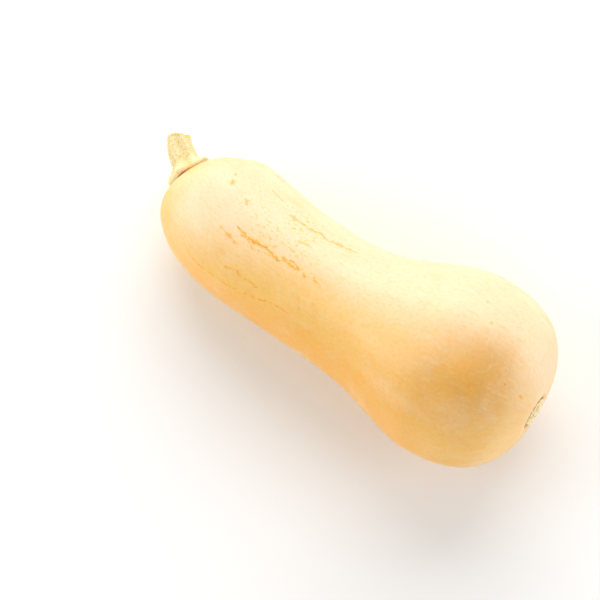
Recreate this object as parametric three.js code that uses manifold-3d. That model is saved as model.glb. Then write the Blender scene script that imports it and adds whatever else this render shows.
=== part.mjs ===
// A butternut squash as picked, lying on its side: the fruit, and the woody stem that it was cut with.
// Millimetres, +Z up, +X from the stem end to the blossom end. The origin is on the surface that the
// squash lies on, below the middle of its outline.

import * as THREE from "three";
import { mergeVertices } from "three/addons/utils/BufferGeometryUtils.js";
import Module from "manifold-3d";

const wasm = await Module();
wasm.setup();

// The fruit is round in section about a bent centre line. Stations are measured along that line,
// from the stem end.
const fruit = {
  length: 244,
  neckRadius: 37.1, // the narrowest part of the neck
  neckEndRadius: 38.5, // the fuller end of the neck, below the stem
  neckEndStation: 46.5,
  neckEndRoundness: 2.6, // 2 is an ellipse, more is a squarer shoulder
  swellStation: 93, // where the neck starts to widen into the bulb
  swellSkew: 1.62, // above 1, the widening comes late
  bulbRadius: 55.9,
  bulbStation: 190,
  bulbRoundness: 2.55,
};

// The centre line bends in one plane: the neck is set over to one side and turns back at the stem.
// Each pair is the distance along the fruit and the distance to the side.
const centreLine = [
  [0, 0],
  [17, -7.5],
  [46, -14.1],
  [91, -15.6],
  [126, -13.9],
  [161, -9.6],
  [193, -5.7],
  [244, -1.8],
];

// Waves round the skin: how many, how high, where they start and how far they twist from end to end.
const ribs = { count: 10, height: 0.45, start: 0, twist: 1.5 };
const oval = { count: 2, height: 0.7, start: 0.8, twist: 2.2 };
const lobes = { count: 3, height: 0.4, start: 2, twist: -3 };
const ribShareAtStem = 0.3; // the ribs are shallow on the neck and full height on the bulb
const poleFade = 0.125; // the share of the length over which all waves fade out at each end

// The hollows at the two ends, and the corky scar that the flower left in one of them.
const stemHollow = { radius: 17, depth: 1 };
const blossomHollow = { radius: 19, depth: 2.4 };
const scar = {
  radius: 10,
  ringRadius: 7.6,
  ringWidth: 1.6,
  ringHeight: 0.6,
  grooveWidth: 0.9,
  grooveDepth: 0.7,
  innerGrooveRadius: 4.6,
  innerGrooveDepth: 0.35,
  nubWidth: 1.5,
  nubHeight: 0.7,
};

// How the fruit lies: turned about its length, and settled on two small flat spots.
const lie = { rollDegrees: 10, bulbFlatDepth: 1.0, neckFlatDepth: 0.6 };

// The stem stands on the fruit's end, with a lobed collar round its foot and five ridges.
const stem = {
  length: 26.4,
  radius: 8.6,
  topRadius: 6.9,
  collarRadius: 13.7,
  collarHeight: 1.6,
  collarBulge: 4.2, // how softly the collar rounds over at its foot
  collarSpread: 8.5, // how far up the stem the collar reaches
  ridges: 5,
  ridgeShare: 0.09, // ridge height as a share of the radius
  leanDegrees: 10, // how far the stem has bent over at its cut
  footAside: 3.5, // how far the foot is set to one side of the fruit's pole
  rootDepth: 5, // how far the stem reaches below the skin before it is cut to fit
  footDepth: 2,
  edgeRound: 0.8,
  cutDish: 0.9, // how far the cut face has dried hollow
  cutSlantDegrees: 18,
  clearance: 0.3, // the gap that keeps the stem and the fruit apart
};

// A chip is broken out of the rim of the cut.
const chip = { radius: 3.8, across: 6.4, towardsSky: 3.6, aboveCut: -0.6 };

// Mesh fineness.
const fruitSides = 64;
const stemSides = 40;
const stemSteps = 16;
const capSteps = 10;
const middleSteps = 18;
const chipDetail = 3;
const stemEndRings = [0, 4, 8, 12, 15];
const scarRings = 12;
const scarRingStep = 1.25;
const weldDistance = 1e-3;

const radians = THREE.MathUtils.degToRad;
const { clamp, lerp } = THREE.MathUtils;
const smooth = (t) => t * t * (3 - 2 * t);
const bump = (distance, width) => Math.exp(-((distance / width) ** 2));
const hollow = (share) => (share < 1 ? (1 - share * share) ** 2 : 0);

const spine = new THREE.CatmullRomCurve3(
  centreLine.map(([along, aside]) => new THREE.Vector3(along, aside, 0)),
  false,
  "centripetal",
);

// The fruit's radius between its two widest rings.
function waistRadius(station) {
  const f = fruit;
  const fromEnd = clamp((station - f.neckEndStation) / (f.swellStation - f.neckEndStation), 0, 1);
  const intoBulb = clamp((station - f.swellStation) / (f.bulbStation - f.swellStation), 0, 1);
  const neck = lerp(f.neckEndRadius, f.neckRadius, smooth(fromEnd));
  return neck + (f.bulbRadius - f.neckRadius) * smooth(intoBulb ** f.swellSkew);
}

// Points of a rounded end, from its pole out to its widest ring, as radius and depth below the pole.
function roundedEnd(radius, depth, roundness, innerRadii) {
  const points = innerRadii.map((r) => {
    const share = (1 - (r / radius) ** roundness) ** (1 / roundness);
    return new THREE.Vector2(r, depth * (1 - share));
  });
  const firstAngle = Math.asin((innerRadii.at(-1) / radius) ** (roundness / 2));
  for (let i = 1; i <= capSteps; i++) {
    const angle = lerp(firstAngle, Math.PI / 2, i / capSteps);
    const r = radius * Math.sin(angle) ** (2 / roundness);
    const share = Math.max(0, Math.cos(angle)) ** (2 / roundness);
    points.push(new THREE.Vector2(r, depth * (1 - share)));
  }
  return points;
}

// The fruit's half outline from the stem end to the blossom end, as radius and station.
function fruitOutline() {
  const f = fruit;
  const stemEnd = roundedEnd(f.neckEndRadius, f.neckEndStation, f.neckEndRoundness, stemEndRings);
  for (const p of stemEnd) p.y += stemHollow.depth * hollow(p.x / stemHollow.radius);

  const middle = [];
  for (let i = 1; i < middleSteps; i++) {
    const station = lerp(f.neckEndStation, f.bulbStation, i / middleSteps);
    middle.push(new THREE.Vector2(waistRadius(station), station));
  }

  const rings = Array.from({ length: scarRings }, (_, i) => i * scarRingStep);
  const blossomEnd = roundedEnd(f.bulbRadius, f.length - f.bulbStation, f.bulbRoundness, rings);
  for (const p of blossomEnd) {
    p.y = f.length - p.y - blossomHollow.depth * hollow(p.x / blossomHollow.radius);
  }
  return [...stemEnd, ...middle, ...blossomEnd.reverse()];
}

function wave({ count, height, start, twist }, angle, along) {
  return height * Math.cos(count * angle + start + twist * along);
}

// Height of the skin's ribs and unevenness. They fade out at both poles.
function skinHeight(station, angle) {
  const along = station / fruit.length;
  const fade = smooth(Math.min(1, Math.min(along, 1 - along) / poleFade));
  const ribbed = lerp(ribShareAtStem, 1, smooth(along)) * wave(ribs, angle, along);
  return fade * (ribbed + wave(oval, angle, along) + wave(lobes, angle, along));
}

// Height of the flower's scar: a groove round it, a corky ring, an inner groove and a nub.
function scarHeight(radius, angle) {
  const wavy = 1 + 0.06 * Math.cos(5 * angle + 0.4) + 0.03 * Math.cos(3 * angle + 1.9);
  const r = radius / wavy;
  return (
    scar.ringHeight * bump(r - scar.ringRadius, scar.ringWidth) -
    scar.grooveDepth * bump(r - scar.radius, scar.grooveWidth) -
    scar.innerGrooveDepth * bump(r - scar.innerGrooveRadius, scar.grooveWidth) +
    scar.nubHeight * bump(r, scar.nubWidth)
  );
}

// Carries a point that is off a straight centre line over to the bent one.
function ontoSpine(station, across, up) {
  const share = clamp(station / fruit.length, 0, 1);
  const centre = spine.getPointAt(share);
  const tangent = spine.getTangentAt(share);
  const past = station - share * fruit.length;
  return new THREE.Vector3(
    centre.x + tangent.x * past - tangent.y * across,
    centre.y + tangent.y * past + tangent.x * across,
    up,
  );
}

// One closed surface with shared vertices.
function welded(geometry) {
  geometry.deleteAttribute("normal");
  geometry.deleteAttribute("uv");
  return mergeVertices(geometry, weldDistance);
}

// A closed surface that is moved point by point.
function shaped(geometry, place) {
  const surface = welded(geometry);
  const position = surface.attributes.position;
  const point = new THREE.Vector3();
  for (let i = 0; i < position.count; i++) {
    const moved = place(point.fromBufferAttribute(position, i));
    position.setXYZ(i, moved.x, moved.y, moved.z);
  }
  return surface;
}

// The fruit on its own centre line, grown outwards all over by a small amount where asked.
function fruitGeometry(grown = 0) {
  const lathe = new THREE.LatheGeometry(fruitOutline(), fruitSides);
  return shaped(lathe, (p) => {
    const flatRadius = Math.hypot(p.x, p.z);
    const angle = Math.atan2(p.x, p.z);
    const atStem = p.y < fruit.neckEndStation;
    const atBlossom = p.y > fruit.bulbStation;
    const widest = atStem ? fruit.neckEndRadius : fruit.bulbRadius;
    const towardsPole = Math.sqrt(Math.max(0, 1 - (flatRadius / widest) ** 2));
    const end = atStem ? -towardsPole : atBlossom ? towardsPole : 0;
    const station = p.y + grown * end + (atBlossom ? scarHeight(flatRadius, angle) : 0);
    const sideways = skinHeight(p.y, angle) + grown * Math.sqrt(1 - end * end);
    const radius = flatRadius > 0 ? flatRadius + sideways : 0;
    return ontoSpine(station, radius * Math.cos(angle), radius * Math.sin(angle));
  });
}

function solidOf(geometry) {
  const { position } = geometry.attributes;
  return new wasm.Manifold(
    new wasm.Mesh({
      numProp: 3,
      vertProperties: new Float32Array(position.array),
      triVerts: new Uint32Array(geometry.index.array),
    }),
  );
}

function geometryOf(solid) {
  const mesh = solid.getMesh();
  return new THREE.BufferGeometry()
    .setAttribute("position", new THREE.BufferAttribute(new Float32Array(mesh.vertProperties), 3))
    .setIndex(new THREE.BufferAttribute(new Uint32Array(mesh.triVerts), 1));
}

// The turn that lays the fruit down, so that the bulb and the neck's end sink by their flat depths.
function lyingPose(geometry) {
  const steepest = radians(20);
  const halvings = 30;
  const roll = new THREE.Matrix4().makeRotationX(radians(lie.rollDegrees));
  const waist = (fruit.neckEndStation + fruit.bulbStation) / 2;
  const turned = (pitch) => new THREE.Matrix4().makeRotationY(-pitch).multiply(roll);
  const lowest = (pitch, wantBulb) => {
    const turn = turned(pitch);
    const point = new THREE.Vector3();
    let low = Infinity;
    for (let i = 0; i < geometry.attributes.position.count; i++) {
      point.fromBufferAttribute(geometry.attributes.position, i);
      if (point.x > waist === wantBulb) low = Math.min(low, point.applyMatrix4(turn).z);
    }
    return low;
  };
  let [flat, steep] = [0, steepest];
  for (let i = 0; i < halvings; i++) {
    const pitch = (flat + steep) / 2;
    const bulb = lowest(pitch, true) + lie.bulbFlatDepth;
    const neck = lowest(pitch, false) + lie.neckFlatDepth;
    if (bulb > neck) steep = pitch;
    else flat = pitch;
  }
  const lift = -lowest(flat, true) - lie.bulbFlatDepth;
  return new THREE.Matrix4().makeTranslation(0, 0, lift).multiply(turned(flat));
}

// The stem's half outline from inside the fruit to the cut, as radius and height above the skin.
function stemOutline() {
  const { radius, topRadius, collarRadius, length } = stem;
  const points = [
    new THREE.Vector2(0, -stem.rootDepth),
    new THREE.Vector2(0.8 * collarRadius, -stem.rootDepth),
  ];
  for (let i = 0; i <= stemSteps; i++) {
    const height = lerp(-stem.footDepth, length - stem.edgeRound, (i / stemSteps) ** 1.4);
    const above = height - stem.collarHeight;
    const spread = above < 0 ? bump(above, stem.collarBulge) : hollow(above / stem.collarSpread);
    const shaft = lerp(radius, topRadius, Math.max(0, height) / length);
    points.push(new THREE.Vector2(lerp(shaft, collarRadius, spread), height));
  }
  points.push(new THREE.Vector2(topRadius - stem.edgeRound, length));
  points.push(new THREE.Vector2(0.5 * topRadius, length - 0.4 * stem.cutDish));
  points.push(new THREE.Vector2(0, length - stem.cutDish));
  return points;
}

// A point beside the stem's own line, in the fruit's frame. The stem leaves the fruit's end square on
// and leans over as it rises.
function besideStem(height, across, up) {
  const rise = Math.max(0, height) / stem.length;
  const turn = -radians(stem.leanDegrees) * rise ** 2;
  const along = spine.getTangentAt(0).negate().applyAxisAngle(new THREE.Vector3(0, 0, 1), turn);
  const side = new THREE.Vector3(-along.y, along.x, 0);
  return along
    .multiplyScalar(height)
    .addScaledVector(side, across)
    .add(new THREE.Vector3(0, -stem.footAside, up));
}

function stemGeometry() {
  const lathe = new THREE.LatheGeometry(stemOutline(), stemSides);
  return shaped(lathe, (p) => {
    const angle = Math.atan2(p.x, p.z);
    const rise = Math.max(0, p.y) / stem.length;
    const collar = bump(p.y - stem.collarHeight, stem.collarBulge);
    const ridge = stem.ridgeShare * (1 + 0.5 * collar) * Math.cos(stem.ridges * angle + 0.6 * rise);
    const uneven = 0.03 * Math.cos(2 * angle + 1) + 0.04 * collar * Math.cos(7 * angle + 2);
    const radius = Math.hypot(p.x, p.z) * (1 + ridge + uneven);
    const slant = rise * Math.tan(radians(stem.cutSlantDegrees)) * radius * Math.cos(angle);
    return besideStem(p.y + slant, radius * Math.cos(angle), radius * Math.sin(angle));
  });
}

function chipGeometry() {
  const { x, y, z } = besideStem(stem.length + chip.aboveCut, -chip.across, chip.towardsSky);
  return welded(new THREE.IcosahedronGeometry(chip.radius, chipDetail)).translate(x, y, z);
}

const fruitSurface = fruitGeometry();
const lying = lyingPose(fruitSurface);
const ground = new THREE.BoxGeometry(2 * fruit.length, fruit.length, fruit.length);
const underground = solidOf(welded(ground).translate(fruit.length / 2, 0, -fruit.length / 2));
const skinAllowance = fruitGeometry(stem.clearance).applyMatrix4(lying);

const fruitSolid = solidOf(fruitSurface.applyMatrix4(lying)).subtract(underground);
const stemSolid = solidOf(stemGeometry().applyMatrix4(lying))
  .subtract(solidOf(skinAllowance))
  .subtract(solidOf(chipGeometry().applyMatrix4(lying)));

const rind = new THREE.MeshStandardMaterial({ color: 0xe9bd7c, roughness: 0.45, metalness: 0 });
const cork = new THREE.MeshStandardMaterial({ color: 0xdcc79a, roughness: 0.9, metalness: 0 });

function named(name, solid, material) {
  const mesh = new THREE.Mesh(geometryOf(solid), material);
  mesh.name = name;
  return mesh;
}

const squash = new THREE.Group();
squash.add(named("fruit", fruitSolid, rind));
squash.add(named("stem", stemSolid, cork));

// Moves the origin below the middle of the outline.
const middle = new THREE.Box3().setFromObject(squash).getCenter(new THREE.Vector3());
squash.position.set(-middle.x, -middle.y, 0);

export default squash;
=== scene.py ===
import math

import bpy
import numpy as np
from mathutils import Matrix, Vector, noise


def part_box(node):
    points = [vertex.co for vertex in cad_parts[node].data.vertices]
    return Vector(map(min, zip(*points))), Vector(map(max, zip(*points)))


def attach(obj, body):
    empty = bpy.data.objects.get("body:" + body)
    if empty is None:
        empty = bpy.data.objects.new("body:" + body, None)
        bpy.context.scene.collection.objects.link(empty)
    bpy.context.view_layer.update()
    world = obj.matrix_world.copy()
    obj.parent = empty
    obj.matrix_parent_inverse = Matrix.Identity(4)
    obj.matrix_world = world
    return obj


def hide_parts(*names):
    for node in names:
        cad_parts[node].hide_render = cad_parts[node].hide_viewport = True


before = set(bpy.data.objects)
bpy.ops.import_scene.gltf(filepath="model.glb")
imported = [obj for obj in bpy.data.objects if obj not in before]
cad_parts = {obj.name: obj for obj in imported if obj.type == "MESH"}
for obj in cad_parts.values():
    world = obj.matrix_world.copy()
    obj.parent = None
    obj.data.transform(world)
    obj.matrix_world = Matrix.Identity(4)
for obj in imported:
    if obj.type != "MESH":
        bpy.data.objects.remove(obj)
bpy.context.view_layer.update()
print("frame loaded")


# The camera looks steeply down on the squash, with the stem at the top left of the picture.
view = {
    "azimuth": 37.2,  # degrees round, 0 looks along +Y
    "elevation": 77.3,
    "distance": 1.1,
    "level": 0.05,  # height of the plane that the framing is worked out for
    "frameWidth": 0.3426,  # metres across the picture on that plane
    "middle": (-0.0225, -0.0109),  # the picture's middle, right and up from the origin
}
azimuth, elevation = math.radians(view["azimuth"]), math.radians(view["elevation"])
outward = math.cos(elevation)
back = Vector((math.sin(azimuth) * outward, -math.cos(azimuth) * outward, math.sin(elevation)))
right = Vector((math.cos(azimuth), math.sin(azimuth), 0))
up = back.cross(right)
aim = Vector((0, 0, view["level"])) + right * view["middle"][0] + up * view["middle"][1]


def turned(across, upward, backward):
    return Matrix((across, upward, backward)).transposed().to_4x4()


def addCamera():
    data = bpy.data.cameras.new("camera")
    data.sensor_width = 36
    data.lens = data.sensor_width * view["distance"] / view["frameWidth"]
    camera = bpy.data.objects.new("camera", data)
    camera.matrix_world = Matrix.Translation(aim + back * view["distance"]) @ turned(right, up, back)
    bpy.context.collection.objects.link(camera)
    bpy.context.scene.camera = camera


# Each lamp stands off from the squash by so much to the right, up and back as the picture shows it.
lamps = {
    "key": {"offset": (0.1, 1.3, 0.6), "size": 1.7, "power": 20.5, "colour": (1, 0.99, 0.97)},
    "left": {"offset": (-1.2, 0.15, 0.4), "size": 0.9, "power": 8, "colour": (1, 0.99, 0.97)},
    "right": {"offset": (1.2, -0.1, 0.4), "size": 0.9, "power": 5, "colour": (1, 1, 1)},
    "front": {"offset": (0.1, -1.2, 0.4), "size": 1.1, "power": 5.5, "colour": (1, 0.99, 0.97)},
}
sky = {"colour": (1, 1, 1, 1), "strength": 0.44}


def addLamps():
    for name, lamp in lamps.items():
        data = bpy.data.lights.new(name, "AREA")
        data.shape = "DISK"
        data.size = lamp["size"]
        data.energy = lamp["power"]
        data.color = lamp["colour"]
        obj = bpy.data.objects.new(name, data)
        x, y, z = lamp["offset"]
        away = right * x + up * y + back * z
        obj.location = Vector((0, 0, view["level"])) + away
        obj.rotation_mode = "QUATERNION"
        obj.rotation_quaternion = away.to_track_quat("Z", "Y")
        obj.visible_camera = False
        bpy.context.collection.objects.link(obj)
    scene = bpy.context.scene
    scene.world = bpy.data.worlds.new("sky")
    scene.world.use_nodes = True
    background = scene.world.node_tree.nodes["Background"]
    background.inputs["Color"].default_value = sky["colour"]
    background.inputs["Strength"].default_value = sky["strength"]
    scene.view_settings.view_transform = "Standard"


addCamera()
addLamps()
print("camera and lamps placed")


def colour(red, green, blue):  # a screen colour, 0 to 255, as the light values that nodes want
    shares = [c / 255 for c in (red, green, blue)]
    return tuple(c / 12.92 if c <= 0.04045 else ((c + 0.055) / 1.055) ** 2.4 for c in shares) + (1,)


def paints(palette):
    return {name: colour(*screen) for name, screen in palette.items()}


class Value:  # a socket that can stand in a sum; each sum adds its Math node
    def __init__(self, shader, socket):
        self.shader = shader
        self.socket = socket

    def math(self, operation, *terms):
        return self.shader.node("ShaderNodeMath", {"operation": operation}, dict(enumerate(terms)))

    def __add__(self, other):
        return self.math("ADD", self, other)

    def __radd__(self, other):
        return self.math("ADD", other, self)

    def __sub__(self, other):
        return self.math("SUBTRACT", self, other)

    def __rsub__(self, other):
        return self.math("SUBTRACT", other, self)

    def __mul__(self, other):
        return self.math("MULTIPLY", self, other)

    def most(self, other):
        return self.math("MAXIMUM", self, other)

    def least(self, other):
        return self.math("MINIMUM", self, other)

    def also(self, out):  # another output of the same node
        return Value(self.shader, self.socket.node.outputs[out])


class Shader:  # a material and the nodes in it
    sockets = {
        "baseColour": "Base Color",
        "roughness": "Roughness",
        "specular": "Specular IOR Level",
        "normal": "Normal",
    }

    def __init__(self, name):
        self.material = bpy.data.materials.new(name)
        self.material.use_nodes = True
        self.nodes = self.material.node_tree.nodes
        self.links = self.material.node_tree.links
        self.surface = self.nodes["Principled BSDF"]

    def feed(self, socket, value):
        if isinstance(value, Value):
            self.links.new(value.socket, socket)
        else:
            socket.default_value = value

    def node(self, kind, settings={}, values={}, out=0):
        made = self.nodes.new(kind)
        for name, setting in settings.items():
            setattr(made, name, setting)
        for name, value in values.items():
            self.feed(made.inputs[name], value)
        return Value(self, made.outputs[out])

    def field(self, name, out="Fac"):  # a value that the mesh carries at each point
        return self.node("ShaderNodeAttribute", {"attribute_name": name}, out=out)

    def noise(self, where, scale, detail=2, roughness=0.5):
        values = {"Vector": where, "Scale": scale, "Detail": detail, "Roughness": roughness}
        return self.node("ShaderNodeTexNoise", {}, values)

    def step(self, value, low, high):  # 0 below low, 1 above high
        return self.node(
            "ShaderNodeMapRange",
            {"interpolation_type": "SMOOTHSTEP"},
            {"Value": value, "From Min": low, "From Max": high},
        )

    def band(self, value, start, end, soft):  # 1 between start and end
        rises = self.step(value, start - soft, start + soft)
        falls = self.step(value, end - soft, end + soft)
        return rises * (1 - falls)

    def mix(self, share, first, second, blend="MIX"):
        settings = {"data_type": "RGBA", "blend_type": blend}
        return self.node("ShaderNodeMix", settings, {0: share, 6: first, 7: second}, out=2)

    def coats(self, under, layers):  # each layer is a mask, the share of it that covers, and a colour
        for mask, share, over in layers:
            under = self.mix(mask * share, under, over)
        return under

    def dots(self, where, scale, size, edge, left):  # round dots, with the share that is left out
        cells = self.node("ShaderNodeTexVoronoi", {}, {"Vector": where, "Scale": scale}, out="Distance")
        draw = self.node("ShaderNodeSeparateColor", {}, {"Color": cells.also("Color")})
        return (1 - self.step(cells, size, edge)) * self.step(draw, left, left + 0.02)

    def stretch(self, where, scales):
        return self.node("ShaderNodeVectorMath", {"operation": "MULTIPLY"}, {0: where, 1: scales})

    def finish(self, **inputs):
        for name, value in inputs.items():
            self.feed(self.surface.inputs[self.sockets[name]], value)
        return self.material

    def bump(self, height, distance):
        values = {"Height": height, "Distance": distance, "Strength": 1.0}
        return self.node("ShaderNodeBump", {}, values, out="Normal")


metre = 1000  # in millimetres, which every shape below is worked out in


def smooth(t):
    return t * t * (3 - 2 * t)


def ramp(value, start, width):  # climbs smoothly from 0 to 1 over the width
    return smooth(np.clip((value - start) / width, 0, 1))


def bulge(distance, width):
    return np.exp(-((distance / width) ** 2))


def hollow(share):
    return (1 - np.minimum(share, 1) ** 2) ** 2


def ripple(wave, angle):
    count, height, start = wave
    return height * np.cos(count * angle + start)


def gridMesh(name, points, fields, material):
    # Rows of points round a closed form. The first and last rows are single points.
    rows, columns = points.shape[:2]

    def flat(grid):
        body = grid[1:-1].reshape((rows - 2) * columns, *grid.shape[2:])
        return np.concatenate([grid[0, :1], body, grid[-1, :1]])

    ring = 1 + np.arange(columns)
    after = np.roll(ring, -1)
    last = 1 + (rows - 2) * columns
    faces = np.stack([np.zeros(columns, int), after, ring], 1).tolist()
    for row in range(rows - 3):
        low, high = row * columns, (row + 1) * columns
        faces += np.stack([ring + low, after + low, after + high, ring + high], 1).tolist()
    end = (rows - 3) * columns
    faces += np.stack([np.full(columns, last), ring + end, after + end], 1).tolist()

    mesh = bpy.data.meshes.new(name)
    mesh.from_pydata(flat(points).tolist(), [], faces)
    for field, grid in fields.items():
        wide = grid.ndim == 3
        layer = mesh.attributes.new(field, "FLOAT_VECTOR" if wide else "FLOAT", "POINT")
        layer.data.foreach_set("vector" if wide else "value", flat(grid).astype(np.float32).ravel())
    mesh.shade_smooth()
    mesh.materials.append(material)
    obj = bpy.data.objects.new(name, mesh)
    bpy.context.collection.objects.link(obj)
    return obj


# The fruit: round in section about a bent centre line. Stations are millimetres from its stem end.
fruit = {
    "length": 244,
    "neckRadius": 37.1,
    "neckEndRadius": 38.5,
    "neckEndStation": 46.5,
    "neckEndRoundness": 2.6,
    "swellStation": 93,
    "swellSkew": 1.62,  # above 1, the neck keeps its width for longer
    "bulbRadius": 55.9,
    "bulbStation": 190,
    "bulbRoundness": 2.55,
    "centreLine": [
        (0, 0), (17, -7.5), (46, -14.1), (91, -15.6),
        (126, -13.9), (161, -9.6), (193, -5.7), (244, -1.8),
    ],
    "dents": [(0.3, 24), (0.1, 8)],  # height, distance from one to the next
    "dentFade": 25,  # radius inside which the dents die out at the ends
    "waves": [  # the ribs first: count, height, start, twist from end to end
        (10, 0.45, 0, 1.5),
        (2, 0.7, 0.8, 2.2),
        (3, 0.4, 2, -3),
    ],
    "ribShareAtStem": 0.3,
    "poleFade": 0.125,  # share of the length over which the waves die out
    "stemHollow": (17, 1.0),  # radius, depth
    "blossomHollow": (19, 2.4),
    "rollDegrees": 10,
    "bulbFlatDepth": 1.0,
    "neckFlatDepth": 0.6,
    "grainLength": 60,  # along the fruit, for one unit of the skin's grain
    "collarReach": 30,  # the last station where the skin feels the stem's collar
    "rows": 354,
    "columns": 278,
    "rowSpacings": [(22, 0.95), (120, 0.62), (178, 1.7), (228, 1.0), (999, 1.7)],  # up to each station
    "scarRows": (15, 0.55),  # radius, spacing
    "closeColumns": (-4, 152),  # degrees round, on the side with most of the streaks
    "columnSpacings": (0.62, 1.4),  # close, wide
}
scar = {
    "radius": 10,
    "ringRadius": 7.6,
    "ringWidth": 1.6,
    "ringHeight": 0.6,
    "grooveWidth": 0.9,
    "grooveDepth": 0.7,
    "innerGrooveRadius": 4.6,
    "innerGrooveDepth": 0.35,
    "nubWidth": 1.5,
    "nubHeight": 0.7,
    "button": 0.9,  # height that the cork stands up from the hollow
    "tilt": 0.06,  # rise over run of the cork's top
    "crumbs": 0.35,
    "crumbScale": 1.1,
    "edge": (9, 3),  # radius where the crumbs start to fade, width that they fade over
    "buttonEdge": (8, 2.2),
    "reach": 30,  # radius inside which the skin takes the scar's form and colour
    "waves": [(5, 0.06, 0.4), (3, 0.03, 1.9)],  # count, share of the radius, start
}
farOff = 99  # a radius past every ring of colour, for skin that is nowhere near


def spineCurve(corners, steps=60):
    # A centripetal spline through the corners, and the length along it at each point.
    corners = np.array(corners, float)
    padded = np.vstack([2 * corners[0] - corners[1], corners, 2 * corners[-1] - corners[-2]])
    t = np.linspace(0, 1, steps, endpoint=False)[:, None]
    runs = []
    for i in range(len(corners) - 1):
        a, b, c, d = padded[i : i + 4]
        gaps = [math.sqrt(math.dist(p, q)) for p, q in ((a, b), (b, c), (c, d))]
        leave = ((b - a) / gaps[0] - (c - a) / (gaps[0] + gaps[1]) + (c - b) / gaps[1]) * gaps[1]
        arrive = ((c - b) / gaps[1] - (d - b) / (gaps[1] + gaps[2]) + (d - c) / gaps[2]) * gaps[1]
        bend, twist = 3 * (c - b) - 2 * leave - arrive, 2 * (b - c) + leave + arrive
        runs.append(b + leave * t + bend * t**2 + twist * t**3)
    line = np.vstack(runs + [corners[-1:]])
    lengths = np.concatenate([[0], np.cumsum(np.linalg.norm(np.diff(line, axis=0), axis=1))])
    return line, lengths


spineLine, spineLengths = spineCurve(fruit["centreLine"])
spineDirections = np.gradient(spineLine, spineLengths, axis=0)
spineDirections /= np.linalg.norm(spineDirections, axis=1)[:, None]


def ontoSpine(station, across, upward):
    share = np.clip(station / fruit["length"], 0, 1)
    at = share * spineLengths[-1]
    x, y, dx, dy = [np.interp(at, spineLengths, v) for v in (*spineLine.T, *spineDirections.T)]
    past = station - share * fruit["length"]
    return np.stack([x + dx * past - dy * across, y + dy * past + dx * across, upward], -1)


def neckEndDepth(radius):  # how far the stem end falls away at a distance from the centre line
    f = fruit
    share = np.minimum(radius / f["neckEndRadius"], 1)
    roundness = f["neckEndRoundness"]
    fall = f["neckEndStation"] * (1 - (1 - share**roundness) ** (1 / roundness))
    return fall + f["stemHollow"][1] * hollow(radius / f["stemHollow"][0])


def fruitOutline(steps=400):
    f = fruit
    quarter = np.linspace(0, math.pi / 2, steps)

    def end(radius, depth, roundness):
        spread = np.sin(quarter) ** (2 / roundness)
        return radius * spread, depth * (1 - np.maximum(np.cos(quarter), 0) ** (2 / roundness))

    stemRadii, stemStations = end(f["neckEndRadius"], f["neckEndStation"], f["neckEndRoundness"])
    stemStations = stemStations + f["stemHollow"][1] * hollow(stemRadii / f["stemHollow"][0])
    waist = np.linspace(f["neckEndStation"], f["bulbStation"], steps)[1:-1]
    fromEnd = np.clip((waist - f["neckEndStation"]) / (f["swellStation"] - f["neckEndStation"]), 0, 1)
    intoBulb = np.clip((waist - f["swellStation"]) / (f["bulbStation"] - f["swellStation"]), 0, 1)
    waistRadii = f["neckEndRadius"] + (f["neckRadius"] - f["neckEndRadius"]) * smooth(fromEnd)
    waistRadii = waistRadii + (f["bulbRadius"] - f["neckRadius"]) * smooth(intoBulb ** f["swellSkew"])
    bulbRadii, depths = end(f["bulbRadius"], f["length"] - f["bulbStation"], f["bulbRoundness"])
    hollowRadius, hollowDepth = f["blossomHollow"]
    bulbStations = f["length"] - depths - hollowDepth * hollow(bulbRadii / hollowRadius)
    radii = np.concatenate([stemRadii, waistRadii, bulbRadii[::-1]])
    stations = np.concatenate([stemStations, waist, bulbStations[::-1]])
    return radii, stations


def spread(start, end, spacing, count):
    # count places from start to end, close together where spacing(place) is small
    fine = np.linspace(start, end, 4000)
    crowd = np.concatenate([[0], np.cumsum(1 / spacing((fine[1:] + fine[:-1]) / 2))])
    return np.interp(np.linspace(0, crowd[-1], count), crowd, fine)


def skinHeight(station, angle):
    along = station / fruit["length"]
    fade = smooth(np.minimum(1, np.minimum(along, 1 - along) / fruit["poleFade"]))
    heights = []
    for count, height, start, twist in fruit["waves"]:
        heights.append(ripple((count, height, start + twist * along), angle))
    ribShare = fruit["ribShareAtStem"] + (1 - fruit["ribShareAtStem"]) * smooth(along)
    return fade * (ribShare * heights[0] + sum(heights[1:]))


def wavyScar(radius, angle):
    return radius / (1 + sum(ripple(wave, angle) for wave in scar["waves"]))


def scarHeight(radius, angle):
    r = wavyScar(radius, angle)
    return (
        scar["ringHeight"] * bulge(r - scar["ringRadius"], scar["ringWidth"])
        - scar["grooveDepth"] * bulge(r - scar["radius"], scar["grooveWidth"])
        - scar["innerGrooveDepth"] * bulge(r - scar["innerGrooveRadius"], scar["grooveWidth"])
        + scar["nubHeight"] * bulge(r, scar["nubWidth"])
    )


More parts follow.
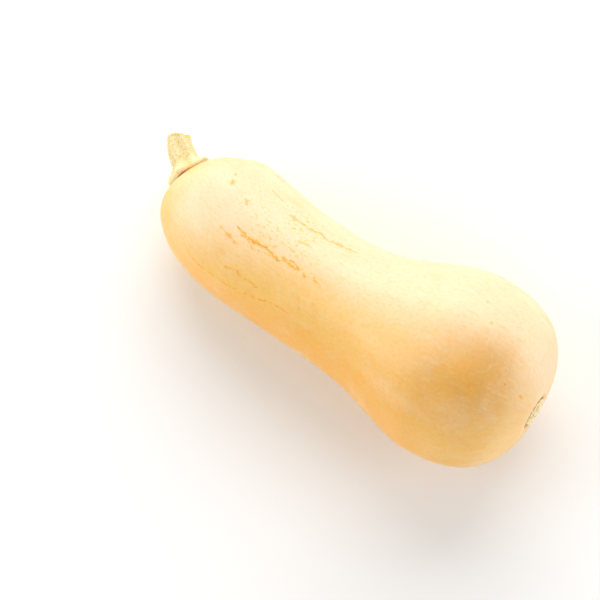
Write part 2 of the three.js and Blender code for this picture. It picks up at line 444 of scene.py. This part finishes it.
# Corky marks on the skin. Points are the station and the angle round, with 90 at the top.
marks = {
    "seed": 7,
    "height": 0.25,
    "heightWidth": 1.5,  # in widths of a mark
    "widen": 1.05,
    "farAway": 5.0,  # in widths of a mark
    "toneReach": 2.5,  # in widths of a mark
    "pathStep": 0.4,
    "pathRadius": 40,
    "sway": (0.16, 2.6),  # rate, degrees
    "jitter": (0.9, 1.3),
    "unevenRate": 0.33,
    "uneven": {"streak": 1.6, "hairline": 0.8, "dot": 0.3},
    "thinnest": 0.06,
    "taperLength": 3,
    "taperStart": 0.3,
    "untapered": 2,  # the longest path that keeps its full width to its ends
    "dotLength": 0.5,
    "dotTone": 0.7,
    "search": (4, 0.2),  # millimetres and radians past a mark's ends
    "streaks": [
        {
            "points": [(52, 88), (62, 90), (72, 88), (84, 90), (94, 87), (104, 88)],
            "width": 0.42,
            "tone": 1.0,
        },
        {"points": [(57, 92), (68, 93), (80, 91)], "width": 0.32, "tone": 0.8},
        {"points": [(83, 87), (91, 84), (99, 85)], "width": 0.36, "tone": 0.9},
        {"points": [(104, 86), (112, 87)], "width": 0.36, "tone": 0.8},
        {"points": [(69, 49), (82, 47), (94, 45), (106, 43)], "width": 0.36, "tone": 0.62},
        {"points": [(102, 42), (117, 40)], "width": 0.34, "tone": 0.5},
        {"points": [(57, 122), (70, 120), (83, 122)], "width": 0.34, "tone": 0.8},
        {"points": [(41, 141), (58, 139), (68, 137), (82, 131)], "width": 0.36, "tone": 0.7},
        {"points": [(80, 132), (94, 125), (106, 124)], "width": 0.4, "tone": 0.9},
        {"points": [(45, 97), (52, 99), (61, 101)], "width": 0.34, "tone": 0.7},
        {"points": [(36, 12), (53, 11)], "width": 0.34, "tone": 0.45},
        {"points": [(49, 38), (62, 41)], "width": 0.32, "tone": 0.42},
        {"points": [(42, 63), (46, 66), (50, 71)], "width": 0.34, "tone": 0.7},
        {"points": [(48, 60), (46, 66), (44, 72)], "width": 0.3, "tone": 0.6},
        {"points": [(43, 69), (46, 66), (50, 64)], "width": 0.26, "tone": 0.5},
        {"points": [(28, 60), (30, 62), (31, 65)], "width": 0.7, "tone": 0.6},
        {"points": [(84, 66), (93, 64)], "width": 0.28, "tone": 0.5},
        {"points": [(60, 76), (66, 74)], "width": 0.26, "tone": 0.5},
        {"points": [(72, 238), (96, 231), (118, 236)], "width": 0.42, "tone": 0.8},
        {"points": [(50, 262), (66, 259)], "width": 0.36, "tone": 0.6},
        {"points": [(130, 300), (151, 306)], "width": 0.4, "tone": 0.6},
        {"points": [(150, 210), (176, 214)], "width": 0.36, "tone": 0.5},
    ],
    "hairlines": [
        {"points": [(104, 104), (109, 122)], "width": 0.26, "tone": 0.5},
        {"points": [(114, 54), (111, 72)], "width": 0.22, "tone": 0.4},
        {"points": [(178, 3), (190, 8), (197, 13), (209, 11), (217, 8)], "width": 0.5, "tone": 0.8},
        {"points": [(196, 20), (203, 19), (208, 14)], "width": 0.45, "tone": 0.6},
        {"points": [(215, 15), (221, 20), (226, 15), (222, 9)], "width": 0.5, "tone": 0.7},
        {"points": [(170, 96), (176, 104)], "width": 0.22, "tone": 0.35},
    ],
    "dots": [  # station, angle, width
        (26, 55, 0.5),
        (236, 87, 0.6),
        (232, 140, 0.6),
        (216, 154, 0.6),
        (204, 60, 0.4),
        (196, 48, 0.4),
        (176, 200, 0.7),
    ],
}


# Where the skin is paler, deeper in colour, more orange or flecked. The pale patches are partly a paler
# side and partly painted light on the lit side, the deep ones partly deeper skin and partly painted
# shade on the bulb's face, the warm ones partly more orange skin and partly painted orange bounce light
# on the neck's lower side. Each line is a station and an angle, the reach along and round, and the
# strength.
tints = {
    "paleAndPaintedLight": [
        (46, 42, 56, 57, 0.9),
        (116, 36, 60, 55, 0.9),
        (182, 34, 46, 54, 0.9),
        (215, 34, 18, 42, 0.6),
        (28, 95, 22, 50, 0.7),
        (238, 40, 12, 74, 0.7),
        (238, 150, 10, 50, 0.25),
        (176, 127, 36, 4.5, 0.3),
        (120, 276, 80, 36, 0.7),
    ],
    "deepAndPaintedShade": [
        (217, 95, 21, 32, 0.85),
        (188, 98, 24, 28, 0.25),
        (172, 122, 30, 26, 0.25),
        (190, 225, 34, 34, 0.6),
    ],
    "warmAndPaintedBounce": [
        (70, 160, 44, 26, 1.0),
        (130, 146, 40, 32, 0.8),
        (180, 160, 40, 34, 0.6),
        (130, 320, 80, 40, 0.8),
    ],
    "fleck": [
        (74, 70, 28, 28, 1.0),
        (84, 40, 22, 24, 0.7),
        (92, 110, 26, 26, 0.5),
        (84, 236, 34, 24, 0.8),
    ],
}


def tintField(kind, station, angle):
    total = 0
    for at, turn, long, wide, strength in tints[kind]:
        apart = (angle - math.radians(turn) + math.pi) % (2 * math.pi) - math.pi
        total = total + strength * bulge(station - at, long) * bulge(apart, math.radians(wide))
    return np.minimum(total, 1)


def wander(points, width, uneven, random):
    # Fills in a path in small steps, sways it a little and makes its width uneven.
    points = np.array(points, float)
    around = np.diff(np.radians(points[:, 1])) * marks["pathRadius"]
    reach = np.concatenate([[0], np.cumsum(np.hypot(np.diff(points[:, 0]), around))])
    places = np.arange(0, reach[-1] + marks["pathStep"], marks["pathStep"])
    station = np.interp(places, reach, points[:, 0])
    angle = np.radians(np.interp(places, reach, points[:, 1]))
    start = random.uniform(0, 100)

    def waver(rate, layer):
        return np.array([noise.noise(Vector((place * rate, start, layer))) for place in places])

    (swayRate, swayTurn), (jitterRate, jitterTurn) = marks["sway"], marks["jitter"]
    turn = np.radians(waver(swayRate, 0) * swayTurn + waver(jitterRate, 5) * jitterTurn)
    angle = angle + turn * min(1, reach[-1] / marks["taperLength"])
    fromEnds = np.minimum(places, reach[-1] - places)
    taper = np.minimum(1, marks["taperStart"] + fromEnds / marks["taperLength"])
    if reach[-1] <= marks["untapered"]:
        taper = 1
    thick = 1 + uneven * waver(marks["unevenRate"], 9)
    return station, angle, marks["widen"] * width * np.maximum(marks["thinnest"], taper * thick)


def markFields(station, radius, angle):
    # How far each skin point is from the nearest mark, in widths of that mark, and the mark's tone.
    random = np.random.default_rng(marks["seed"])
    edges = {kind: np.full(station.shape, marks["farAway"]) for kind in ("cork", "hair")}
    tones = np.zeros(station.shape)
    jobs = [("cork", streak, marks["uneven"]["streak"]) for streak in marks["streaks"]]
    jobs += [("hair", hairline, marks["uneven"]["hairline"]) for hairline in marks["hairlines"]]
    for at, turn, width in marks["dots"]:
        path = [(at, turn), (at + marks["dotLength"], turn)]
        dot = {"points": path, "width": width, "tone": marks["dotTone"]}
        jobs.append(("cork", dot, marks["uneven"]["dot"]))
    past, pastTurn = marks["search"]
    for kind, mark, uneven in jobs:
        pathStation, pathAngle, widths = wander(mark["points"], mark["width"], uneven, random)
        inside = (station > pathStation.min() - past) & (station < pathStation.max() + past)
        middle = (pathAngle.min() + pathAngle.max()) / 2
        halfTurn = (pathAngle.max() - pathAngle.min()) / 2 + pastTurn
        turn = (angle - middle + math.pi) % (2 * math.pi) - math.pi
        near = np.nonzero(inside & (np.abs(turn) < halfTurn))
        along = station[near][:, None] - pathStation
        around = (turn[near][:, None] + middle - pathAngle) * radius[near][:, None]
        apart = np.hypot(along, around) / widths
        closest = apart.min(1)
        better = closest < edges[kind][near]
        edges[kind][near] = np.where(better, closest, edges[kind][near])
        deeper = np.maximum(tones[near], mark["tone"])
        tones[near] = np.where(closest < marks["toneReach"], deeper, tones[near])
    return edges["cork"], edges["hair"], tones


def crumble(points, scale, octaves=3, dimension=0.8, gap=2.1):  # noise at each point, about -1 to 1
    shape = points.shape[:-1]
    flat = (points.reshape(-1, 3) * scale).tolist()
    return np.array([noise.fractal(Vector(p), dimension, gap, octaves) for p in flat]).reshape(shape)


def layDown(points, pitch, lift=0.0):
    roll = math.radians(fruit["rollDegrees"])
    across, rise = math.cos(pitch), math.sin(pitch)
    tip = np.array([[across, 0, -rise], [0, 1, 0], [rise, 0, across]])
    across, rise = math.cos(roll), math.sin(roll)
    spin = np.array([[1, 0, 0], [0, across, -rise], [0, rise, across]])
    return points @ (tip @ spin).T + np.array([0, 0, lift])


def restingPitch(points, steepest=20, halvings=30):
    # The pitch at which the bulb and the neck's end sink by their flat depths.
    bulb = points[..., 0] > (fruit["neckEndStation"] + fruit["bulbStation"]) / 2
    flat, steep = 0.0, math.radians(steepest)
    for _ in range(halvings):
        pitch = (flat + steep) / 2
        heights = layDown(points, pitch)[..., 2]
        if heights[bulb].min() + fruit["bulbFlatDepth"] > heights[~bulb].min() + fruit["neckFlatDepth"]:
            steep = pitch
        else:
            flat = pitch
    lowest = layDown(points, flat)[..., 2][bulb].min()
    return flat, -lowest - fruit["bulbFlatDepth"]


rindColours = {
    "tan": (241, 194, 104),
    "cream": (246, 222, 187),
    "orange": (238, 174, 74),
    "deepAndPaintedShade": (216, 154, 56),
    "mottle": (246, 168, 56),
    "paleMottle": (230, 180, 104),
    "stipple": (255, 238, 214),
    "pore": (252, 236, 200),
    "fleck": (248, 192, 84),
    "smudge": (250, 204, 112),
    "freckle": (206, 130, 60),
    "streakEdge": (248, 192, 96),
    "streak": (232, 156, 48),
    "paleStreak": (246, 184, 74),
    "hairline": (232, 166, 74),
    "collarCreaseShade": (186, 108, 30),
    "roundScar": (247, 212, 160),
    "scarEdge": (232, 186, 120),
    "rim": (158, 82, 26),
    "paleRim": (234, 202, 138),
    "cork": (234, 210, 152),
    "paleCork": (252, 240, 204),
    "nub": (238, 220, 170),
    "disc": (214, 186, 122),
    "paleDisc": (232, 212, 158),
}


def rindMaterial():
    s = Shader("squashRind")
    paint = paints(rindColours)
    place = s.node("ShaderNodeTexCoord", out="Object")
    grain = s.field("grain", "Vector")
    along = s.field("along")

    # the skin's colour, in broad patches and in fine lines from end to end, with painted light on the
    # lit side, painted shade on the bulb's face and painted orange bounce light along the neck's lower
    # side
    cloud = s.noise(place, 11, 3)
    patches = s.noise(place, 34, 4, 0.6)
    blotches = s.noise(place, 95, 5, 0.65)
    mottle = s.noise(place, 130, 5, 0.7)
    grit = s.noise(place, 620, 3, 0.6)
    lengthways = s.noise(s.stretch(grain, (3.2, 3.2, 1.1)), 2.2, 5, 0.62)
    fineLengthways = s.noise(s.stretch(grain, (9, 9, 1.6)), 2.6, 4, 0.6)
    stipple = s.noise(s.stretch(grain, (30, 30, 22)), 1.0, 4, 0.7)
    stray = (cloud - 0.5) * 0.6 + (patches - 0.5) * 0.4 + (lengthways - 0.5) * 0.4
    mottled = (s.field("deepAndPaintedShade") + s.field("warmAndPaintedBounce")).least(1)
    lines = s.step(along, 0.4, 0.8) * 0.1 + s.step(along, 0.84, 0.92) * 0.14
    layers = [
        (s.step(cloud, 0.42, 0.66), 0.4, paint["orange"]),
        (s.step(blotches, 0.44, 0.64), 0.3, paint["orange"]),
        # painted orange bounce light along the neck's lower side, partly more orange skin
        (s.step(s.field("warmAndPaintedBounce") + stray, 0.1, 1.0), 0.8, paint["orange"]),
        # painted light: paler cream on the lit side, partly a paler side of the skin
        (s.step(s.field("paleAndPaintedLight") + stray, -0.1, 1.1), 0.9, paint["cream"]),
        # painted shade: deeper colour on the bulb's face, partly deeper skin
        (s.step(s.field("deepAndPaintedShade") + stray, -0.1, 1.1), 0.75, paint["deepAndPaintedShade"]),
        (s.step(patches, 0.5, 0.75), 0.25, paint["cream"]),
        (s.step(patches, 0.5, 0.3), 0.12, paint["orange"]),
        (s.step(mottle, 0.47, 0.64) * mottled, 0.4, paint["mottle"]),
        (s.step(mottle, 0.47, 0.34) * mottled, 0.2, paint["paleMottle"]),
        (s.step(lengthways, 0.54, 0.8), 0.22, paint["cream"]),
        (s.step(fineLengthways, 0.54, 0.76), lines, paint["cream"]),
        (s.step(fineLengthways, 0.47, 0.3), 0.12, paint["orange"]),
        (s.step(grit, 0.54, 0.74), 0.16, paint["cream"]),
    ]
    skin = s.coats(paint["tan"], layers)
    skin = s.mix(s.step(stipple, 0.47, 0.62) * 0.5, skin, paint["stipple"], "MULTIPLY")

    # pale pores, golden flecks that gather on the neck and near the cork, smudges and a few freckles
    flecks = s.noise(s.stretch(grain, (23, 23, 20)), 1.0, 3, 0.6)
    smudges = s.noise(s.stretch(grain, (16, 16, 11)), 1.0, 4, 0.65)
    gather = s.field("fleck") * 0.1 + s.band(along, 0.1, 0.6, 0.06) * 0.03
    nearCork = (1 - s.step(s.field("corkEdge"), 1.5, 5)) * 0.06
    layers = [
        (s.dots(place, 330, 0.1, 0.22, 0.5), 0.1, paint["pore"]),
        (s.step(flecks + gather + nearCork, 0.71, 0.77), 0.75, paint["fleck"]),
        (s.step(smudges + gather * 0.5, 0.61, 0.7), 0.3, paint["smudge"]),
        (s.dots(place, 70, 0.03, 0.06, 0.72), 0.5, paint["freckle"]),
    ]
    skin = s.coats(skin, layers)

    # the raised corky streaks, broken up along their edges
    fray = s.noise(place, 1000, 2) * 1.5
    tone = s.field("markTone")
    core = (1 - s.step(s.field("corkEdge") + fray, 1.2, 2.4)) * tone
    layers = [
        ((1 - s.step(s.field("corkEdge"), 1.0, 5)) * tone, 0.45, paint["streakEdge"]),
        (core, 0.9, s.mix(s.step(grit, 0.42, 0.6), paint["streak"], paint["paleStreak"])),
        ((1 - s.step(s.field("hairEdge") + fray, 1.2, 2.2)) * tone, 0.75, paint["hairline"]),
    ]
    skin = s.coats(skin, layers)

    # the skin round the stem's collar, paler near it, with painted shade in the crease at the collar's
    # foot
    collar = s.field("collarRadius")
    layers = [
        (1 - s.step(collar, 14, 22), 1, paint["cream"]),
        # painted shade: a dark ring on the skin in the crease round the collar's foot
        ((1 - s.step(collar, 13.5, 15.0)) * s.field("creaseShaded"), 0.9, paint["collarCreaseShade"]),
    ]
    skin = s.coats(skin, layers)

    # the flower's scar, in rings from its nub out to its rim
    blossom = s.field("blossomRadius")
    wobble = blossom + (s.noise(place, 420, 3) - 0.5) * 1.8
    crumbs = s.noise(place, 700, 4, 0.7)
    pits = s.step(crumbs, 0.4, 0.62)
    rim = s.mix(pits, paint["rim"], paint["paleRim"])
    cork = s.mix(s.step(crumbs, 0.4, 0.6), paint["cork"], paint["paleCork"])
    layers = [
        (s.band(wobble, 1.7, 4.0, 0.5), 1, s.mix(pits, paint["disc"], paint["paleDisc"])),
        (s.band(wobble, 4.1, 5.2, 0.5), 0.7, rim),
        (s.step(wobble, 4.8, 5.6), 1, cork),
        (s.band(wobble, 8.7, 10.2, 0.5), 1, rim),
    ]
    rings = s.coats(paint["nub"], layers)
    onScar = 1 - s.step(wobble, 10.0, 10.6)
    layers = [
        (1 - s.step(blossom, 10, 22), 0.4, paint["roundScar"]),
        (1 - s.step(wobble, 10.4, 12.4), 0.4, paint["scarEdge"]),
        (onScar, 1, rings),
    ]
    skin = s.coats(skin, layers)

    corky = core.most(onScar)
    roughness = 0.44 + (patches - 0.5) * 0.2 + corky * 0.38
    relief = grit * 0.12 + s.noise(place, 180, 3) * 0.35 + fineLengthways * 0.2 + corky * crumbs * 1.6
    return s.finish(baseColour=skin, roughness=roughness, specular=0.42, normal=s.bump(relief, 0.00016))


def addFruit():
    radii, stations = fruitOutline()
    lengths = np.concatenate([[0], np.cumsum(np.hypot(np.diff(radii), np.diff(stations)))])

    def rowSpacing(place):
        station, radius = np.interp(place, lengths, stations), np.interp(place, lengths, radii)
        ends, spacings = np.transpose(fruit["rowSpacings"])
        scarRadius, scarSpacing = fruit["scarRows"]
        inScar = (station > fruit["bulbStation"]) & (radius < scarRadius)
        return np.where(inScar, scarSpacing, spacings[np.searchsorted(ends, station)])

    def columnSpacing(angle):
        first, last = np.radians(fruit["closeColumns"])
        close, wide = fruit["columnSpacings"]
        return np.where((angle < last) | (angle > first + 2 * math.pi), close, wide)

    places = spread(0, lengths[-1], rowSpacing, fruit["rows"])
    angles = spread(0, 2 * math.pi, columnSpacing, fruit["columns"] + 1)[:-1]
    flatRadius, station = np.interp(places, lengths, radii), np.interp(places, lengths, stations)
    flatRadius[[0, -1]] = 0
    flatRadius, angle = np.meshgrid(flatRadius, angles, indexing="ij")
    station = np.repeat(station[:, None], fruit["columns"], 1)

    corkEdge, hairEdge, tone = markFields(station, flatRadius, angle)
    grain = np.stack([np.cos(angle), np.sin(angle), station / fruit["grainLength"]], -1)
    atBlossom = (station > fruit["bulbStation"]) & (flatRadius < scar["reach"])
    onScar = np.where(atBlossom, 1 - ramp(flatRadius, *scar["edge"]), 0)
    button = np.where(atBlossom, 1 - ramp(flatRadius, *scar["buttonEdge"]), 0)
    raised = marks["height"] * tone * bulge(corkEdge, marks["heightWidth"])
    smoothPoints = np.stack([flatRadius * np.cos(angle), flatRadius * np.sin(angle), station], -1)
    dents = sum(height * crumble(smoothPoints, 1 / apart, 1) for height, apart in fruit["dents"])
    dents = dents * np.clip(flatRadius / fruit["dentFade"], 0, 1)
    radius = np.where(flatRadius > 0, flatRadius + skinHeight(station, angle) + raised + dents, 0)
    crumbs = np.zeros(station.shape)
    spot = onScar > 0
    spotPoints = np.stack([flatRadius * np.cos(angle), flatRadius * np.sin(angle), 0 * angle], -1)[spot]
    crumbs[spot] = crumble(spotPoints, scar["crumbScale"])
    corkTop = scar["button"] - scar["tilt"] * flatRadius * np.sin(angle)
    cork = button * corkTop + scar["crumbs"] * crumbs * onScar
    lifted = station + np.where(atBlossom, scarHeight(flatRadius, angle), 0) + cork

    points = ontoSpine(lifted, radius * np.cos(angle), radius * np.sin(angle))
    pitch, lift = restingPitch(points)
    points = layDown(points, pitch, lift)
    points[..., 2] = np.maximum(points[..., 2], 0)
    cadLow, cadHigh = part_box("fruit")
    low, high = points.min((0, 1)) / metre, points.max((0, 1)) / metre
    shift = np.array([(cadLow[i] + cadHigh[i] - low[i] - high[i]) / 2 for i in range(2)] + [0])
    aside = flatRadius * np.cos(angle) + stem["footAside"]
    upward = flatRadius * np.sin(angle)
    roundStem = np.arctan2(upward, -aside)
    fromStem = np.hypot(aside, upward) / stemShape(roundStem, 0, 1)
    fields = {kind: tintField(kind, station, angle) for kind in tints}
    fields |= {
        "grain": grain,
        "along": station / fruit["length"],
        "blossomRadius": np.where(atBlossom, wavyScar(flatRadius, angle), farOff),
        "collarRadius": np.where(station < fruit["collarReach"], fromStem, farOff),
        "creaseShaded": creaseShadeShare(roundStem),
        "corkEdge": corkEdge,
        "hairEdge": hairEdge,
        "markTone": tone,
    }
    obj = gridMesh("squashFruit", points / metre + shift, fields, rindMaterial())
    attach(obj, "root")
    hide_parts("fruit")
    print("fruit made", len(obj.data.polygons), "faces")
    return pitch, lift, shift


# The stem stands on the fruit's end, with a lobed collar round its foot and five ridges.
stem = {
    "length": 26.4,
    "radius": 8.6,
    "topRadius": 6.9,
    "collarRadius": 13.7,
    "collarHeight": 1.6,
    "collarBulge": 4.2,
    "collarSpread": 8.5,  # height over which the collar runs out into the shaft
    "lipHeight": 3.6,
    "lipRaise": 0.6,
    "lipTilt": 1.2,  # more of it on the side that the stem leans to
    "ridges": 5,
    "ridgeShare": 0.09,
    "ridgeTwist": 0.6,
    "lobeShare": 0.5,  # how much bolder the ridges are on the collar
    "oval": (2, 0.03, 1),  # count, share of the radius, start
    "ruffle": (7, 0.04, 2),
    "flareShare": 0.8,
    "rootShare": 0.8,  # of the collar's radius, inside the fruit
    "leanDegrees": 10,
    "footAside": 3.5,
    "rootDepth": 5,
    "footDepth": 3,
    "footCreaseShade": (1.0, 0.8),  # height of the painted shade line in the crease round the foot, height that it fades over
    "edgeRound": 0.8,
    "cutDish": 0.9,
    "cutSlantDegrees": 18,
    "chip": {
        "radius": 3.8,
        "across": 6.4,
        "towardsSky": 3.9,
        "aboveCut": -0.6,
        "facing": 7,  # how far below the cut the point is that it faces
    },
    "lumps": (0.35, 1.1, 2.4),  # height, rate round the stem, rate along it
    "fibres": (0.16, 5, 1.6),
    "shaftLumps": 0.6,  # share of the lumps' height above the collar
    "lumpFade": 3,  # radius inside which the lumps die out
    "grainLength": 10,
    "faceFade": 4,  # how sharply the cut face starts
    "faceMargin": 0.4,  # rim that stays bark
    "cutCrumbs": (0.22, 0.9),  # height, rate
    "unshadedSide": (-0.9, 0.7),  # where round the foot the painted crease shade starts, and how slowly
    "chipBlush": 0.1,  # how far past the chip its colour reaches
    "rows": 210,
    "columns": 220,
}


def besideStem(height, across, upward):
    rise = np.maximum(0, height) / stem["length"]
    turn = -math.radians(stem["leanDegrees"]) * rise**2
    x, y = -spineDirections[0]
    alongX = x * np.cos(turn) - y * np.sin(turn)
    alongY = x * np.sin(turn) + y * np.cos(turn)
    pastX = alongX * height - alongY * across
    pastY = alongY * height + alongX * across
    return np.stack([pastX, pastY - stem["footAside"], upward], -1)


def ridgeWave(angle, rise):  # 1 on a ridge, -1 in a valley
    return np.cos(stem["ridges"] * angle + stem["ridgeTwist"] * rise)


def stemShape(angle, rise, collar):  # the ridges and lobes, as a share of the radius
    uneven = ripple(stem["oval"], angle) + collar * ripple(stem["ruffle"], angle)
    bold = stem["ridgeShare"] * (1 + stem["lobeShare"] * collar)
    return 1 + bold * ridgeWave(angle, rise) + uneven


def creaseShadeShare(angle):  # the painted crease shade round the foot leaves one side unshaded
    return ramp(np.cos(angle), *stem["unshadedSide"])


def stemOutline(sideSteps=300, rimSteps=12, faceSteps=40):
    s = stem
    heights = np.linspace(-s["footDepth"], s["length"] - s["edgeRound"], sideSteps)
    above = heights - s["collarHeight"]
    lip = np.sqrt(1 - np.clip(above / s["lipHeight"], 0, 1) ** 2)
    flare = s["flareShare"] * hollow(np.maximum(above, 0) / s["collarSpread"])
    share = np.where(above < 0, bulge(above, s["collarBulge"]), np.maximum(lip, flare))
    shaft = s["radius"] + (s["topRadius"] - s["radius"]) * np.maximum(0, heights) / s["length"]
    radii = shaft + (s["collarRadius"] - shaft) * share
    turn = np.linspace(0, math.pi / 2, rimSteps)[1:]
    rimRadii = s["topRadius"] - s["edgeRound"] * (1 - np.cos(turn))
    rimHeights = s["length"] - s["edgeRound"] * (1 - np.sin(turn))
    faceRadii = np.linspace(s["topRadius"] - s["edgeRound"], 0, faceSteps)[1:]
    faceHeights = s["length"] - s["cutDish"] * (1 - (faceRadii / s["topRadius"]) ** 2)
    radii = np.concatenate([[0, s["rootShare"] * s["collarRadius"]], radii, rimRadii, faceRadii])
    heights = np.concatenate([[-s["rootDepth"], -s["rootDepth"]], heights, rimHeights, faceHeights])
    return radii, heights


stemColours = {
    "bark": (248, 236, 194),
    "duskyBark": (240, 224, 168),
    "fibre": (222, 190, 116),
    "valley": (222, 192, 120),
    "speck": (224, 176, 40),
    "darkSpeck": (204, 150, 28),
    "footCreaseShade": (200, 124, 22),
    "cut": (214, 184, 124),
    "paleCut": (244, 226, 180),
    "chip": (250, 200, 30),
    "paleChip": (252, 222, 90),
}


def stemMaterial():
    s = Shader("squashStem")
    paint = paints(stemColours)
    place = s.node("ShaderNodeTexCoord", out="Object")
    lump = s.noise(place, 240, 3)
    grit = s.noise(place, 950, 3, 0.7)
    pepper = s.noise(place, 560, 3, 0.6)
    fibre = s.noise(s.stretch(s.field("grain", "Vector"), (8, 8, 2.4)), 3.2, 5, 0.65)
    speckled = 1 - s.field("collar") * 0.6
    layers = [
        (s.step(lump, 0.36, 0.66), 1, paint["duskyBark"]),
        (s.step(fibre, 0.48, 0.66), 0.35, paint["fibre"]),
        (s.field("valley"), 0.25, paint["valley"]),
        (s.step(grit + (fibre - 0.5) * 0.5, 0.52, 0.62) * speckled, 0.7, paint["speck"]),
        (s.step(pepper, 0.58, 0.68) * speckled, 0.55, paint["darkSpeck"]),
        # painted shade: a dark line in the crease at the collar's foot
        (s.field("foot"), 0.9, paint["footCreaseShade"]),
        (s.field("cutFace"), 1, s.mix(s.step(grit, 0.42, 0.62), paint["cut"], paint["paleCut"])),
        (s.field("chip"), 1, s.mix(s.step(grit, 0.4, 0.65), paint["chip"], paint["paleChip"])),
    ]
    roughness = 0.82 + (grit - 0.5) * 0.2
    skin = s.coats(paint["bark"], layers)
    relief = grit * 0.5 + fibre * 0.9 + lump * 0.6
    return s.finish(baseColour=skin, roughness=roughness, specular=0.25, normal=s.bump(relief, 0.0005))


def addStem(pitch, lift, shift):
    radii, heights = stemOutline()
    lengths = np.concatenate([[0], np.cumsum(np.hypot(np.diff(radii), np.diff(heights)))])
    places = np.linspace(0, lengths[-1], stem["rows"])
    flatRadius, height = np.interp(places, lengths, radii), np.interp(places, lengths, heights)
    flatRadius[[0, -1]] = 0
    angles = np.linspace(0, 2 * math.pi, stem["columns"], endpoint=False)
    flatRadius, angle = np.meshgrid(flatRadius, angles, indexing="ij")
    height = np.repeat(height[:, None], stem["columns"], 1)

    rise = np.maximum(0, height) / stem["length"]
    collar = bulge(height - stem["collarHeight"], stem["collarBulge"])
    around = np.stack([np.cos(angle), np.sin(angle), 0 * angle], -1)
    along = np.stack([0 * angle, 0 * angle, height / stem["grainLength"]], -1)
    lumpHeight, lumpRound, lumpAlong = stem["lumps"]
    fibreHeight, fibreRound, fibreAlong = stem["fibres"]
    lumps = lumpHeight * crumble(around * lumpRound + along * lumpAlong, 1.0)
    lumps = lumps * (stem["shaftLumps"] + collar)
    fibres = fibreHeight * crumble(around * fibreRound + along * fibreAlong, 1.0, 4)
    atTop = np.clip((height - stem["length"] + stem["cutDish"]) * stem["faceFade"], 0, 1)
    onFace = atTop * (flatRadius < stem["topRadius"] - stem["faceMargin"])
    swell = (lumps + fibres) * np.clip(flatRadius / stem["lumpFade"], 0, 1) * (1 - onFace)
    radius = flatRadius * stemShape(angle, rise, collar) + swell
    facePoints = np.stack([flatRadius * np.cos(angle), flatRadius * np.sin(angle), 0 * angle], -1)
    crumbHeight, crumbRate = stem["cutCrumbs"]
    height = height + crumbHeight * onFace * crumble(facePoints, crumbRate)
    height = height + collar * (stem["lipRaise"] + stem["lipTilt"] * (1 + np.cos(angle)) / 2)
    fromAxis = np.hypot(radius * np.cos(angle) + stem["footAside"], radius * np.sin(angle))
    sunk = -stem["footAside"] * spineDirections[0][1]  # the foot's shift aside takes it into the fruit
    aboveSkin = height + neckEndDepth(fromAxis) - sunk
    # painted shade, darker just above the skin in the crease at the collar's foot, one side left
    # unshaded
    foot = (1 - ramp(aboveSkin, *stem["footCreaseShade"])) * creaseShadeShare(angle)
    slant = rise * math.tan(math.radians(stem["cutSlantDegrees"])) * radius * np.cos(angle)
    points = besideStem(height + slant, radius * np.cos(angle), radius * np.sin(angle))

    # The chip: points inside a ball at the rim are pushed in and down on to the ball.
    chip = stem["chip"]
    centre = besideStem(stem["length"] + chip["aboveCut"], -chip["across"], chip["towardsSky"])
    inward = besideStem(stem["length"] - chip["facing"], 0, 0) - centre
    inward /= np.linalg.norm(inward)
    offset = points - centre
    inside = (offset**2).sum(-1) < chip["radius"] ** 2
    along = offset @ inward
    across = (offset**2).sum(-1) - along**2
    push = np.sqrt(np.maximum(chip["radius"] ** 2 - across, 0)) - along
    push = np.where(inside, push, 0)
    points = points + push[..., None] * inward

    points = layDown(points, pitch, lift) / metre + shift
    fields = {
        "grain": np.stack([np.cos(angle), np.sin(angle), height / stem["grainLength"]], -1),
        "foot": foot,
        "collar": collar,
        "valley": smooth((1 - ridgeWave(angle, rise)) / 2),
        "cutFace": onFace,
        "chip": 1 - ramp(np.linalg.norm(offset, axis=-1), chip["radius"] + stem["chipBlush"], 1),
    }
    obj = gridMesh("squashStem", points, fields, stemMaterial())
    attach(obj, "root")
    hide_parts("stem")
    print("stem made", len(obj.data.polygons), "faces")


paper = {
    "reach": 12,  # metres either way
    "shade": (246, 246, 245),
    "light": (250, 250, 250),
}


def addFloor():
    far = paper["reach"]
    corners = [(-far, -far, 0), (far, -far, 0), (far, far, 0), (-far, far, 0)]
    mesh = bpy.data.meshes.new("floor")
    mesh.from_pydata(corners, [], [(0, 1, 2, 3)])
    s = Shader("floorPaper")
    place = s.node("ShaderNodeTexCoord", out="Object")
    tone = s.mix(s.noise(place, 3, 2), colour(*paper["shade"]), colour(*paper["light"]))
    mesh.materials.append(s.finish(baseColour=tone, roughness=0.7, specular=0.2))
    floor = bpy.data.objects.new("floor", mesh)
    bpy.context.collection.objects.link(floor)


resting = addFruit()
addStem(*resting)
addFloor()
